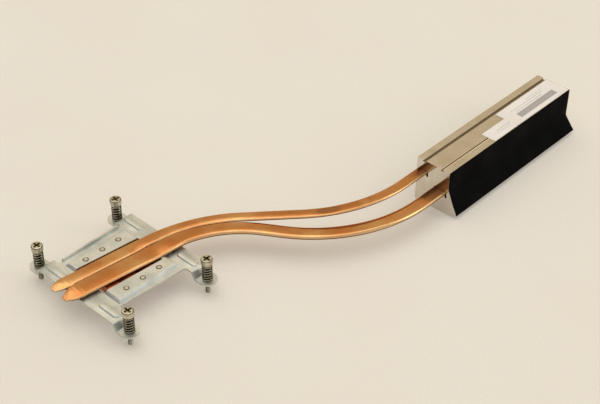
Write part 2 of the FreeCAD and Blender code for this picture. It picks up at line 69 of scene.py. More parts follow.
# Heat pipes
PIPE_STATIONS = 150
PIPE_END_STATIONS = 60
PIPE_END_LENGTH = 14 * MM
PIPE_END_TRIM = 0.5 * MM
PIPE_SLICE_REACH = 12 * MM
PIPE_SIDE_STEPS = 12
PIPE_FLAT_STEPS = 12
PIPE_CROWN = 0.16 * MM
PIPE_NOSE_STEPS = 6
PIPE_NOSE_LENGTH = 0.45 * MM
PIPE_NEIGHBOUR_GAP = 0.8 * MM
PIPE_WIDENING = 1.2 * MM
PIPE_PARTING_Y = 68 * MM
PIPE_FILL = 0.75 * MM
PIPE_FILL_Y = 29 * MM
PIPE_FILL_REACH = 12 * MM
PIPE_TIP_CLEAR = (11 * MM, 17 * MM)
PIPE_TIP_LENGTH = 12 * MM
PIPE_TIP_BLUNTNESS = 0.65
PIPE_TIP_BULGE = 1.9 * MM
CRIMP_LENGTH = 6.5 * MM
CRIMP_DEPTH = 0.8 * MM
CRIMP_WAVE_ALONG = 1.1 * MM
CRIMP_WAVE_ACROSS = 1.6 * MM
CRIMP_SKEW = 9
DENT_PLACE = (59.1 * MM, 114.4 * MM, 12.0 * MM)
DENT_HEADING = math.radians(-35)
DENT_SIZE = (2.9 * MM, 9.0 * MM, 30.0 * MM)
DENT_HALF_LENGTH = 7.4 * MM
DENT_DEPTH = 0.35 * MM
DENT_ACROSS_WEIGHT = 0.6
STACK_REFLECTION_REACH = 16 * MM
PIPE_HIGHLIGHT_FACING = (0.15, 0.85)
PIPE_HIGHLIGHT_SHARE = 0.6
PIPE_SHADE_FACING = (-0.75, -0.05)
PIPE_FACING_SOFT = 0.15

# Staked studs of the base plate, two columns of three about the origin
STUD_COLUMN_X = 18 * MM
STUD_ROW_SPACING = 12.5 * MM
STUD_ROWS_END = 16 * MM
STUD_EDGE = (1.15 * MM, 1.95 * MM)

# Painted shadow along the bracket's slot behind the rear pipe: its place at Y = 0, lean and width
SLOT_LINE_X = -12.25 * MM
SLOT_LINE_LEAN = 0.107
SLOT_LINE_HALF_WIDTH = 0.9 * MM
SLOT_LINE_SOFT = 0.1 * MM

# Screws
HEAD_HEIGHT = 3.6 * MM
HEAD_EDGE_ROUND = 0.7 * MM
HEAD_EDGE_STEPS = 6
HEAD_EDGE_FACING = (0.3, 0.85)
HEAD_EDGE_FACING_SOFT = 0.1
HEAD_FOOT_CHAMFER = 0.2 * MM
CROWN_HOLE_RADIUS = 0.15 * MM
SHANK_RADIUS = 1.5 * MM
SHANK_DARK_SOFT = 0.2 * MM
NECK_RADIUS = 1.15 * MM
NECK_LENGTH = 2.2 * MM
NECK_SHOULDER = 0.2 * MM
RECESS_HALF_LENGTH = 2.5 * MM
RECESS_HALF_WIDTH = 0.7 * MM
RECESS_DEPTH = 1.9 * MM
RECESS_TAPER = 0.55
RECESS_OVERSHOOT = 0.2 * MM
RECESS_MOUTH = 1.06
RECESS_TURNS = (8, -12, 5, -4)
THREAD_PITCH = 0.5 * MM
THREAD_DEPTH = 0.25 * MM
THREAD_LENGTH = 7.4 * MM
THREAD_ROWS_PER_PITCH = 8
TIP_TAPER_LENGTH = 0.6 * MM
TIP_TAPER_SHARE = 0.62
TURN_STEPS = 48

# Springs
SPRING_WIRE_RADIUS = 0.4 * MM
SPRING_TURNS = 7
SPRING_STEPS_PER_TURN = 32
SPRING_WIRE_STEPS = 12
SPRING_CLOSED_PITCH = 2.08

# Fin stack: each CAD fin is shown as several thin folded fins
FIN_SPLIT = 3
FIN_SHEET = 0.25 * MM
FIN_EDGE = 0.05 * MM
FIN_LEVEL_TOLERANCE = 0.01 * MM
SLOT_FLOOR_DEPTH = 1.2 * MM
SLOT_WALL_TOP = 0.3 * MM
SLOT_SHADE_DEPTH = 0.15 * MM
SLOT_PAINT_SOFT = 0.1 * MM
SLOT_HIGHLIGHT_WIDTH = 0.6 * MM
SLOT_SPANS = ((4.9 * MM, 7.1 * MM), (19.45 * MM, 20.15 * MM))

# Film flap
FLAP_BEND_NEAR = 20.0 * MM
FLAP_BEND_FAR = 12.0 * MM
FLAP_BEND_REACH = 1.6 * MM
FLAP_THICKNESS = 0.4 * MM
FLAP_STEPS_ALONG = 60
FLAP_STEPS_DOWN = 30
FLAP_RIPPLE = 0.12 * MM
FLAP_RIPPLE_SHORT = 9 * MM
FLAP_RIPPLE_LONG = 31 * MM

# Shading and edge rounding: edges sharper than these angles stay sharp, or are rounded
SHARP_ANGLE = math.radians(35)
SCREW_SHARP_ANGLE = math.radians(40)
ROUND_FORM_SHARP_ANGLE = math.radians(60)
ROUNDING_ANGLE = math.radians(35)
WELD_DISTANCE = 1e-6
FLAT_ANGLE = math.radians(1)
BRACKET_EDGE = 0.2 * MM
BASE_EDGE = 0.12 * MM
RING_EDGE = 0.06 * MM

# Labels: plain bars and rules, given from the front edge and the far end
LABEL_CORNER = 0.8 * MM
LABEL_CORNER_STEPS = 5
MARK_SOFTNESS = 0.06 * MM
RULE_SHARE = 0.35
BAR_SHARES = (0.35, 0.95)
BAR_EDGE = 0.3
BAR_PITCH = 1.3 * MM
BAR_BLOCK = (3.2 * MM, 8.2 * MM, 8.0 * MM, 48.0 * MM)
LABEL_RULES = (
    (9.4 * MM, 10.2 * MM, 17.0 * MM, 46.0 * MM),
    (11.6 * MM, 12.3 * MM, 14.0 * MM, 49.0 * MM),
    (13.6 * MM, 14.1 * MM, 12.0 * MM, 30.0 * MM),
    (5.7 * MM, 6.4 * MM, 57.5 * MM, 72.0 * MM),
    (3.9 * MM, 4.4 * MM, 60.0 * MM, 74.0 * MM),
)

# Noise levels: the middle band of a noise factor, and the band over which plating looks worn
MIDDLE_BAND = (0.3, 0.7)
WEAR_BAND = (0.4, 0.68)

# Floor and light
FLOOR_SIZE = 4.0
FLOOR_PLAIN_SHARE = 0.3
LIGHT_TARGET = Vector((0.03, 0.13, 0.0))
KEY_PLACE = (-0.35, 0.0, 1.85)
KEY_SIZE = (2.3, 2.3)
KEY_POWER = 17.0
KEY_COLOUR = (1.0, 0.99, 0.975)
WINDOW_PLACE = (1.15, 0.90, 0.90)
WINDOW_SIZE = (0.5, 0.9)
WINDOW_POWER = 3.2
WINDOW_COLOUR = (1.0, 0.97, 0.93)
SKY_STOPS = (
    (0.0, (0.50, 0.49, 0.47, 1.0)),
    (0.2, (0.62, 0.62, 0.61, 1.0)),
    (0.55, (0.68, 0.69, 0.71, 1.0)),
    (1.0, (0.71, 0.74, 0.79, 1.0)),
)
WALL_SIDE = Vector((-0.532, 0.574, 0.623))
WALL_COLOUR = (0.72, 0.59, 0.40, 1.0)
WALL_FADE = (0.5, 0.88)
DIM_SIDE = Vector((-0.532, -0.574, 0.623))
DIM_COLOUR = (0.14, 0.12, 0.10, 1.0)
DIM_FADE = (0.88, 0.96)


def srgb(red, green, blue):
    """Linear colour of an sRGB triple from 0 to 255."""
    channels = []
    for value in (red, green, blue):
        share = value / 255
        channels.append(share / 12.92 if share <= 0.04045 else ((share + 0.055) / 1.055) ** 2.4)
    return (*channels, 1.0)


# Node helpers

def feed(tree, socket, value):
    """Links a node output to a socket, or sets the socket's own value."""
    if isinstance(value, bpy.types.NodeSocket):
        tree.links.new(value, socket)
    else:
        socket.default_value = value


def node(tree, kind, inputs=None, **settings):
    made = tree.nodes.new(kind)
    for name, value in settings.items():
        setattr(made, name, value)
    for name, value in (inputs or {}).items():
        feed(tree, made.inputs[name], value)
    return made


def noise(tree, coordinates, scale, detail=3.0, stretch=(1, 1, 1)):
    """Noise factor over coordinates in metres: cells in a metre, detail, and a stretch for each axis."""
    mapping = node(tree, "ShaderNodeMapping", {"Vector": coordinates, "Scale": stretch})
    texture = node(
        tree, "ShaderNodeTexNoise", {"Vector": mapping.outputs["Vector"], "Scale": scale, "Detail": detail}
    )
    return texture.outputs["Fac"]


def spread(tree, factor, low, high, to_low, to_high):
    """Maps a factor from one range to another, clamped."""
    mapped = node(
        tree, "ShaderNodeMapRange",
        {"Value": factor, "From Min": low, "From Max": high, "To Min": to_low, "To Max": to_high},
    )
    return mapped.outputs["Result"]


def arithmetic(tree, operation, first, second=0.0):
    return node(tree, "ShaderNodeMath", {0: first, 1: second}, operation=operation).outputs[0]


def between(tree, value, low, high, soft, share=1):
    """A share between two levels of a value, nought outside them."""
    rising = spread(tree, value, low - soft, low + soft, 0, share)
    falling = spread(tree, value, high - soft, high + soft, 1, 0)
    return arithmetic(tree, "MULTIPLY", rising, falling)


def blend(tree, factor, first, second):
    mixed = node(tree, "ShaderNodeMix", data_type="RGBA")
    feed(tree, mixed.inputs["Factor"], factor)
    colours = [socket for socket in mixed.inputs if socket.type == "RGBA"]
    feed(tree, colours[0], first)
    feed(tree, colours[1], second)
    return next(socket for socket in mixed.outputs if socket.type == "RGBA")


def layered(tree, colour, *layers):
    """Lays tones over a colour, each by a factor: none at the band's first level, a share at its second."""
    for factor, (none_at, share_at), share, tone in layers:
        colour = blend(tree, spread(tree, factor, none_at, share_at, 0, share), colour, tone)
    return colour


def new_finish(name, metallic=0.0, specular=0.5):
    """A material with a Principled shader: returns it, its node tree and the shader."""
    material = bpy.data.materials.new(name)
    material.use_nodes = True
    tree = material.node_tree
    shader = next(found for found in tree.nodes if found.type == "BSDF_PRINCIPLED")
    shader.inputs["Metallic"].default_value = metallic
    shader.inputs["Specular IOR Level"].default_value = specular
    return material, tree, shader


def dress(tree, shader, colour, roughness, relief=None):
    """Links a colour, a roughness (noise and two levels) and a relief (height, depth and strength)."""
    noise_factor, first, last = roughness
    feed(tree, shader.inputs["Base Color"], colour)
    feed(tree, shader.inputs["Roughness"], spread(tree, noise_factor, *MIDDLE_BAND, first, last))
    if relief:
        height, depth, strength = relief
        bump = node(tree, "ShaderNodeBump", {"Height": height, "Distance": depth, "Strength": strength})
        feed(tree, shader.inputs["Normal"], bump.outputs["Normal"])


def object_coordinates(tree):
    return node(tree, "ShaderNodeTexCoord").outputs["Object"]


def uv_coordinates(tree):
    return node(tree, "ShaderNodeTexCoord").outputs["UV"]


def axis(tree, coordinates, letter):
    return node(tree, "ShaderNodeSeparateXYZ", {"Vector": coordinates}).outputs[letter]


def facing_up(tree):
    """Upward part of the surface's normal: 1 on a top, 0 on a wall, -1 on an underside."""
    return axis(tree, node(tree, "ShaderNodeNewGeometry").outputs["Normal"], "Z")


# Finishes

def drawn_copper():
    """Bright copper with drawing lines and soft tarnish, a painted highlight on the shoulders, painted shade
    on the underside, a painted reflection of the end fin near the stack and painted shade over the dent.
    """
    material, tree, shader = new_finish("drawn_copper", metallic=1.0)
    place = object_coordinates(tree)
    lines = noise(tree, uv_coordinates(tree), 1.0, 4.0, (40, 2600, 1))
    clouds = noise(tree, place, 26, 3.0)
    patches = noise(tree, place, 70, 4.0)
    stains = noise(tree, place, 160, 4.0)
    spot = node(
        tree, "ShaderNodeMapping",
        {"Vector": place, "Location": DENT_PLACE, "Rotation": (0, 0, DENT_HEADING), "Scale": DENT_SIZE},
        vector_type="TEXTURE",
    )
    from_spot = node(
        tree, "ShaderNodeVectorMath", {0: spot.outputs["Vector"]}, operation="LENGTH"
    ).outputs["Value"]
    stack_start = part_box("fin_01")[0][1]
    colour = layered(
        tree, srgb(216, 168, 113),
        (clouds, (0.38, 0.62), 1, srgb(193, 130, 75)),
        (patches, (0.5, 0.68), 0.5, srgb(204, 126, 70)),
        (patches, (0.46, 0.3), 0.4, srgb(228, 184, 128)),
        (stains, (0.55, 0.8), 0.5, srgb(190, 120, 76)),
        (lines, (0.5, 0.8), 0.3, srgb(190, 112, 70)),
        # Painted shade over the rear pipe's dent, as its tilted flat mirrors darker surroundings
        (from_spot, (1.0, 0.75), 0.8, srgb(158, 112, 74)),
        # Painted reflection of the end fin: a dark band on the pipes just before the fin stack
        (axis(tree, place, "Y"), (stack_start - STACK_REFLECTION_REACH, stack_start), 0.75, srgb(122, 70, 42)),
    )
    facing = facing_up(tree)
    # Painted highlight: a golden band on the upper sides of the pipes' round edges
    shoulder = between(tree, facing, *PIPE_HIGHLIGHT_FACING, PIPE_FACING_SOFT, PIPE_HIGHLIGHT_SHARE)
    colour = blend(tree, shoulder, colour, srgb(240, 202, 148))
    # Painted shade: dark brown on the lower sides of the round edges, the dark line under the highlight
    underside = between(tree, facing, *PIPE_SHADE_FACING, PIPE_FACING_SOFT)
    colour = blend(tree, underside, colour, srgb(84, 46, 22))
    dress(tree, shader, colour, (clouds, 0.13, 0.22), (lines, 0.02 * MM, 0.2))
    return material


def stud_distance(tree, place):
    """Distance from the nearest staked stud's axis, large away from the studs."""
    x = arithmetic(tree, "ABSOLUTE", axis(tree, place, "X"))
    y = axis(tree, place, "Y")
    row = arithmetic(tree, "ROUND", arithmetic(tree, "DIVIDE", y, STUD_ROW_SPACING))
    across = arithmetic(tree, "SUBTRACT", x, STUD_COLUMN_X)
    along = arithmetic(tree, "SUBTRACT", y, arithmetic(tree, "MULTIPLY", row, STUD_ROW_SPACING))
    reach = arithmetic(tree, "SQRT", arithmetic(
        tree, "ADD", arithmetic(tree, "POWER", across, 2.0), arithmetic(tree, "POWER", along, 2.0)
    ))
    beyond = arithmetic(tree, "GREATER_THAN", arithmetic(tree, "ABSOLUTE", y), STUD_ROWS_END)
    return arithmetic(tree, "ADD", reach, beyond)


def stud_gap_shade(tree, place, from_stud, soft, least, most):
    """Share of painted shade in a broken ring about each staked stud, where its clearance gap lies."""
    rim = between(tree, from_stud, *STUD_EDGE, soft)
    broken = spread(tree, noise(tree, place, 700, 1.0), 0.4, 0.55, least, most)
    return arithmetic(tree, "MULTIPLY", rim, broken)


def machined_copper():
    """Base plate copper with milling lines, paler stud heads where they were staked, and painted shade in
    broken rings about them.
    """
    material, tree, shader = new_finish("machined_copper", metallic=1.0)
    place = object_coordinates(tree)
    lines = noise(tree, place, 1.0, 2.0, (120, 3000, 400))
    clouds = noise(tree, place, 160, 3.0)
    from_stud = stud_distance(tree, place)
    colour = layered(
        tree, srgb(196, 112, 72),
        (clouds, (0.35, 0.7), 1, srgb(150, 74, 44)),
        (from_stud, (STUD_EDGE[1], STUD_EDGE[0]), 1, srgb(198, 196, 182)),
    )
    # Painted shade of the clearance gap about each stud
    gap_shade = stud_gap_shade(tree, place, from_stud, 0.1 * MM, 0.35, 1.0)
    colour = blend(tree, gap_shade, colour, srgb(150, 98, 62))
    dress(tree, shader, colour, (lines, 0.28, 0.42), (lines, 0.02 * MM, 0.3))
    return material


def plated_steel():
    """Bright zinc plate on sheet steel: soft cloudy grey with a cool cast and faint rolling lines, painted
    shade about the studs and a painted shadow along the slot behind the rear pipe.
    """
    material, tree, shader = new_finish("plated_steel", metallic=1.0)
    place = object_coordinates(tree)
    grain = noise(tree, place, 1.0, 3.0, (2200, 160, 300))
    clouds = noise(tree, place, 90, 5.0)
    specks = noise(tree, place, 900, 2.0)
    colour = layered(
        tree, srgb(214, 214, 206),
        (clouds, (0.35, 0.68), 1, srgb(190, 193, 184)),
        (specks, (0.55, 0.8), 0.35, srgb(168, 169, 160)),
    )
    # Painted shade of the clearance gap about each stud
    gap_shade = stud_gap_shade(tree, place, stud_distance(tree, place), 0.15 * MM, 0.2, 0.75)
    colour = blend(tree, gap_shade, colour, srgb(120, 88, 62))
    # Painted shadow along the slot's edge behind the rear pipe, on the raised panels only
    lean = arithmetic(tree, "MULTIPLY", axis(tree, place, "Y"), SLOT_LINE_LEAN)
    from_line = arithmetic(tree, "SUBTRACT", axis(tree, place, "X"), lean)
    line_low, line_high = SLOT_LINE_X - SLOT_LINE_HALF_WIDTH, SLOT_LINE_X + SLOT_LINE_HALF_WIDTH
    line = between(tree, from_line, line_low, line_high, SLOT_LINE_SOFT)
    panel = arithmetic(tree, "GREATER_THAN", axis(tree, place, "Z"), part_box("rear_heat_pipe")[0][2])
    colour = blend(tree, arithmetic(tree, "MULTIPLY", line, panel), colour, srgb(96, 66, 44))
    dress(tree, shader, colour, (clouds, 0.44, 0.58), (grain, 0.01 * MM, 0.3))
    return material


def wear_noise(tree, place):
    return noise(tree, place, 350, 3.0)


def turning_lines(tree, place):
    """Relief of the lines that a lathe leaves around an upright axis."""
    return noise(tree, place, 1.0, 2.0, (300, 300, 9000)), 0.005 * MM, 0.2


def ring_steel():
    """Dull steel of the retaining rings, with worn lighter patches."""
    material, tree, shader = new_finish("ring_steel", metallic=1.0)
    place = object_coordinates(tree)
    wear = wear_noise(tree, place)
    colour = layered(tree, srgb(90, 88, 82), (wear, WEAR_BAND, 1, srgb(150, 148, 140)))
    dress(tree, shader, colour, (wear, 0.45, 0.3), turning_lines(tree, place))
    return material


def spring_wire():
    """Bright wire, with painted shade on the sides that face the next coils."""
    material, tree, shader = new_finish("spring_wire", metallic=1.0)
    wear = wear_noise(tree, object_coordinates(tree))
    # Painted shade on the wire's tops and undersides, between the coils
    sideways = arithmetic(tree, "ABSOLUTE", facing_up(tree))
    colour = layered(
        tree, srgb(176, 168, 142),
        (wear, WEAR_BAND, 1, srgb(220, 214, 194)),
        (sideways, (0.35, 0.65), 1, srgb(50, 45, 35)),
    )
    dress(tree, shader, colour, (wear, 0.22, 0.14))
    return material


def screw_nickel():
    """Nickel-plated screw: worn bright head, painted shade on the shank inside the spring, a darker tip, and
    painted shade on the head's rounded edge.
    """
    material, tree, shader = new_finish("screw_nickel", metallic=1.0)
    place = object_coordinates(tree)
    height = axis(tree, place, "Z")
    wear = wear_noise(tree, place)
    foot, head = (corner[2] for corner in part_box("compression_spring_1"))
    colour = layered(tree, srgb(178, 171, 148), (wear, WEAR_BAND, 1, srgb(218, 213, 198)))
    # Painted shade on the shank inside the spring
    inside = between(tree, height, foot, head, SHANK_DARK_SOFT)
    colour = blend(tree, inside, colour, srgb(48, 43, 34))
    colour = layered(tree, colour, (height, (foot, foot - SHANK_DARK_SOFT), 0.6, srgb(104, 96, 78)))
    # Painted shade on the head's rounded edge
    slanted = between(tree, facing_up(tree), *HEAD_EDGE_FACING, HEAD_EDGE_FACING_SOFT)
    edge = arithmetic(tree, "MULTIPLY", slanted, arithmetic(tree, "GREATER_THAN", height, head))
    colour = blend(tree, edge, colour, srgb(80, 72, 55))
    dress(tree, shader, colour, (wear, 0.3, 0.18), turning_lines(tree, place))
    return material


def fin_nickel():
    """Nickel-plated sheet, almost a mirror, with rolling lines, seams between fins, painted shade in the
    slots and a painted highlight beside the front slot.
    """
    material, tree, shader = new_finish("fin_nickel", metallic=1.0)
    place = object_coordinates(tree)
    rolling = noise(tree, place, 1.0, 3.0, (700, 2400, 60))
    clouds = noise(tree, place, 80, 4.0)
    colour = layered(
        tree, srgb(224, 218, 208),
        (clouds, (0.35, 0.7), 1, srgb(212, 204, 190)),
        (rolling, (0.5, 0.8), 0.3, srgb(190, 180, 162)),
    )
    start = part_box("fin_01")[0][1]
    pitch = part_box("fin_02")[0][1] - start
    from_start = arithmetic(tree, "SUBTRACT", axis(tree, place, "Y"), start)
    phase = arithmetic(tree, "MULTIPLY", from_start, 2 * math.pi * FIN_SPLIT / pitch)
    seams = spread(tree, arithmetic(tree, "COSINE", phase), 0.3, 1, 0, 0.5)
    past_end_plate = spread(tree, from_start, 0, pitch, 0, 1)
    colour = blend(tree, arithmetic(tree, "MULTIPLY", seams, past_end_plate), colour, srgb(150, 138, 116))
    back, _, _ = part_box("fin_02")[0]
    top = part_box("fin_02")[1][2]
    x = axis(tree, place, "X")
    height = axis(tree, place, "Z")
    depth = arithmetic(tree, "SUBTRACT", top, height)
    # Painted shade inside the two top slots, below the top
    low = between(tree, depth, SLOT_SHADE_DEPTH, SLOT_FLOOR_DEPTH + FIN_SHEET, SLOT_PAINT_SOFT)
    for left, right in SLOT_SPANS:
        inside = between(tree, x, back + left, back + right, SLOT_PAINT_SOFT)
        colour = blend(tree, arithmetic(tree, "MULTIPLY", inside, low), colour, srgb(158, 140, 112))
    # Painted highlight along the fold beside the front slot
    slot_highlight_start = back + SLOT_SPANS[1][1]
    slot_highlight = between(tree, x, slot_highlight_start, slot_highlight_start + SLOT_HIGHLIGHT_WIDTH, SLOT_PAINT_SOFT)
    on_top = spread(tree, height, top - SLOT_WALL_TOP, top - SLOT_SHADE_DEPTH, 0, 1)
    colour = blend(tree, arithmetic(tree, "MULTIPLY", slot_highlight, on_top), colour, srgb(255, 246, 226))
    dress(tree, shader, colour, (clouds, 0.09, 0.17), (clouds, 0.03 * MM, 0.2))
    return material


def black_film():
    """Matt black film with a fine leathery grain."""
    material, tree, shader = new_finish("black_film", specular=0.04)
    place = object_coordinates(tree)
    grain = noise(tree, place, 2600, 2.0)
    scuff = noise(tree, place, 60, 4.0)
    colour = layered(tree, srgb(7, 7, 7), (scuff, (0.4, 0.75), 1, srgb(12, 12, 12)))
    dress(tree, shader, colour, (scuff, 0.8, 0.66), (grain, 0.02 * MM, 0.25))
    return material


def label_paper():
    """Coated white label stock, faintly uneven, with a block of plain bars and a few plain rules."""
    material, tree, shader = new_finish("label_paper", specular=0.25)
    place = object_coordinates(tree)
    fibre = noise(tree, place, 1500, 3.0)
    clouds = noise(tree, place, 60, 3.0)
    colour = layered(tree, srgb(233, 227, 219), (clouds, (0.35, 0.7), 1, srgb(226, 219, 210)))
    front, far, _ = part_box("label_large")[1]
    inward = arithmetic(tree, "SUBTRACT", front, axis(tree, place, "X"))
    back = arithmetic(tree, "SUBTRACT", far, axis(tree, place, "Y"))
    wave = arithmetic(tree, "SINE", arithmetic(tree, "MULTIPLY", back, 2 * math.pi / BAR_PITCH))
    bars = spread(tree, wave, -BAR_EDGE, BAR_EDGE, *BAR_SHARES)
    for mark in (BAR_BLOCK, *LABEL_RULES):
        inner, outer, start, end = mark
        share = arithmetic(
            tree, "MULTIPLY", between(tree, inward, inner, outer, MARK_SOFTNESS),
            between(tree, back, start, end, MARK_SOFTNESS),
        )
        share = arithmetic(tree, "MULTIPLY", share, bars if mark is BAR_BLOCK else RULE_SHARE)
        colour = blend(tree, share, colour, srgb(118, 114, 112))
    dress(tree, shader, colour, (fibre, 0.45, 0.6), (fibre, 0.01 * MM, 0.3))
    return material


def floor_paper():
    """Cream paper: the camera and reflections see part of its tone as it is, so that shadows stay pale."""
    material, tree, shader = new_finish("floor_paper", specular=0.1)
    place = object_coordinates(tree)
    clouds = noise(tree, place, 9, 3.0)
    fibre = noise(tree, place, 700, 3.0)
    colour = layered(
        tree, srgb(233, 226, 212),
        (clouds, (0.3, 0.7), 1, srgb(231, 223, 209)),
        (fibre, (0.45, 0.75), 1, srgb(228, 220, 205)),
    )
    feed(tree, shader.inputs["Base Color"], colour)
    shader.inputs["Roughness"].default_value = 0.85
    plain = node(tree, "ShaderNodeEmission", {"Color": colour, "Strength": 1.0})
    path = node(tree, "ShaderNodeLightPath")
    seen = arithmetic(tree, "MAXIMUM", path.outputs["Is Camera Ray"], path.outputs["Is Glossy Ray"])
    seen = arithmetic(tree, "MAXIMUM", seen, path.outputs["Is Transmission Ray"])
    share = arithmetic(tree, "MULTIPLY", seen, FLOOR_PLAIN_SHARE)
    mixed = node(
        tree, "ShaderNodeMixShader", {0: share, 1: shader.outputs["BSDF"], 2: plain.outputs["Emission"]}
    )
    output = next(found for found in tree.nodes if found.type == "OUTPUT_MATERIAL")
    feed(tree, output.inputs["Surface"], mixed.outputs["Shader"])
    return material


# Pieces

def add_piece(name, mesh, finish, body, replaced, sharp_angle=SHARP_ANGLE):
    """Puts a mesh in the scene as a piece that rides on a body and stands for a CAD node."""
    for polygon in mesh.polygons:
        polygon.use_smooth = True
    mesh.set_sharp_from_angle(angle=sharp_angle)
    mesh.materials.clear()
    mesh.materials.append(finish)
    piece = bpy.data.objects.new(name, mesh)
    bpy.context.collection.objects.link(piece)
    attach(piece, body)
    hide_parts(replaced)
    return piece


def mesh_from(name, vertices, faces):
    mesh = bpy.data.meshes.new(name)
    mesh.from_pydata([tuple(point) for point in vertices], [], faces)
    mesh.update()
    return mesh


def tube_faces(rings, around):
    """Quads of a tube of rings, each with the same number of points around, and its two end caps."""
    faces = []
    for ring in range(rings - 1):
        for step in range(around):
            following = (step + 1) % around
            faces.append((
                ring * around + step, ring * around + following,
                (ring + 1) * around + following, (ring + 1) * around + step,
            ))
    faces.append(tuple(reversed(range(around))))
    faces.append(tuple(range((rings - 1) * around, rings * around)))
    return faces


def mesh_arrays(name):
    """Vertices and edges of a CAD node as arrays."""
    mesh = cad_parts[name].data
    points = np.empty(len(mesh.vertices) * 3)
    mesh.vertices.foreach_get("co", points)
    edges = np.empty(len(mesh.edges) * 2, dtype=int)
    mesh.edges.foreach_get("vertices", edges)
    return points.reshape(-1, 3), edges.reshape(-1, 2)


def plane_cut(points, edges, centre, normal, reach=math.inf):
    """Where a mesh's edges cross a plane, within reach of the centre."""
    heights = (points - centre) @ normal
    first, second = heights[edges[:, 0]], heights[edges[:, 1]]
    crossing = first * second < 0
    share = (first[crossing] / (first[crossing] - second[crossing]))[:, None]
    found = points[edges[crossing, 0]] * (1 - share) + points[edges[crossing, 1]] * share
    return found[np.linalg.norm(found - centre, axis=1) < reach]


def unit(rows):
    return rows / np.linalg.norm(rows, axis=-1, keepdims=True)


def pipe_stations(name):
    """Centres, headings, sides, tops, widths and thicknesses along a CAD heat pipe, from cuts across it."""
    points, edges = mesh_arrays(name)
    low = points[:, 1].min() + PIPE_END_TRIM
    high = points[:, 1].max() - PIPE_END_TRIM
    levels = np.concatenate((
        np.linspace(low, low + PIPE_END_LENGTH, PIPE_END_STATIONS, endpoint=False),
        np.linspace(low + PIPE_END_LENGTH, high, PIPE_STATIONS),
    ))
    centres = []
    for level in levels:
        cut = plane_cut(points, edges, np.array((0, level, 0)), np.array((0.0, 1.0, 0.0)))
        centres.append((cut.min(axis=0) + cut.max(axis=0)) / 2)
    centres = np.array(centres)
    forward = unit(np.gradient(centres, axis=0))
    sides = unit(np.cross(forward, UP))
    tops = np.cross(sides, forward)
    widths = []
    heights = []
    for index, centre in enumerate(centres):
        cut = plane_cut(points, edges, centre, forward[index], PIPE_SLICE_REACH) - centre
        across = cut @ sides[index]
        upward = cut @ tops[index]
        centres[index] = centre + sides[index] * (across.min() + across.max()) / 2
        widths.append(across.max() - across.min())
        heights.append(upward.max() - upward.min())
    return centres, forward, sides, tops, np.array(widths), np.array(heights)


def flat_tube_ring(width, thickness):
    """Outline of a flattened tube as (across, up) pairs, with round sides and slightly crowned flats."""
    radius = thickness / 2
    flat = width / 2 - radius
    shoulder = radius - PIPE_CROWN
    outline = []
    for sign in (1, -1):
        for step in range(PIPE_SIDE_STEPS + 1):
            angle = math.pi * (step / PIPE_SIDE_STEPS - 0.5)
            outline.append((sign * (flat + radius * math.cos(angle)), sign * shoulder * math.sin(angle)))
        for step in range(1, PIPE_FLAT_STEPS):
            share = 1 - 2 * step / PIPE_FLAT_STEPS
            outline.append((sign * flat * share, sign * (radius - PIPE_CROWN * share * share)))
    return outline


def crimp(distance, across):
    """How far the crimping jaws pressed the pipe in, at a distance from its tip."""
    fade = max(0.0, 1 - distance / CRIMP_LENGTH) ** 2
    skew = CRIMP_SKEW * across / CRIMP_WAVE_ACROSS
    along_wave = math.sin(2 * math.pi * distance / CRIMP_WAVE_ALONG + skew)
    across_wave = math.sin(2 * math.pi * across / CRIMP_WAVE_ACROSS)
    return CRIMP_DEPTH * fade * (2 + along_wave + across_wave) / 4


def dent(y, across, width):
    """Depth of the lens-shaped flat left on the rear pipe's top by the bending tool."""
    along_share = (y - DENT_PLACE[1]) / DENT_HALF_LENGTH
    across_share = 2 * across / width
    return DENT_DEPTH * max(0.0, 1 - along_share ** 2 - DENT_ACROSS_WEIGHT * across_share ** 2)


def draw_together(rear, front):
    """Widens both pipes where they lie side by side, until they almost touch."""
    lines = []
    for (centres, _, sides, _, widths, _), side in ((rear, 1), (front, -1)):
        lines.append(centres + sides * (side * widths / 2)[:, None])
    rear_edge, front_edge = lines
    for (centres, _, sides, _, widths, _), side in ((rear, 1), (front, -1)):
        levels = centres[:, 1].copy()
        gap = np.interp(levels, front_edge[:, 1], front_edge[:, 0])
        gap -= np.interp(levels, rear_edge[:, 1], rear_edge[:, 0])
        extra = np.clip((gap - PIPE_NEIGHBOUR_GAP) / 2, 0, PIPE_WIDENING)
        extra *= np.clip(np.interp(levels - levels[0], PIPE_TIP_CLEAR, (0, 1)), 0, 1)
        extra[levels > PIPE_PARTING_Y] = 0
        centres += sides * (side * extra / 2)[:, None]
        widths += extra


def fill_waist(stations):
    """Fills the hollow in the front pipe's near edge where its flat ends."""
    centres, _, sides, _, widths, _ = stations
    share = np.clip((centres[:, 1] - PIPE_FILL_Y) / PIPE_FILL_REACH, -1, 1)
    fill = PIPE_FILL * np.cos(share * math.pi / 2) ** 2
    centres += sides * (fill / 2)[:, None]
    widths += fill


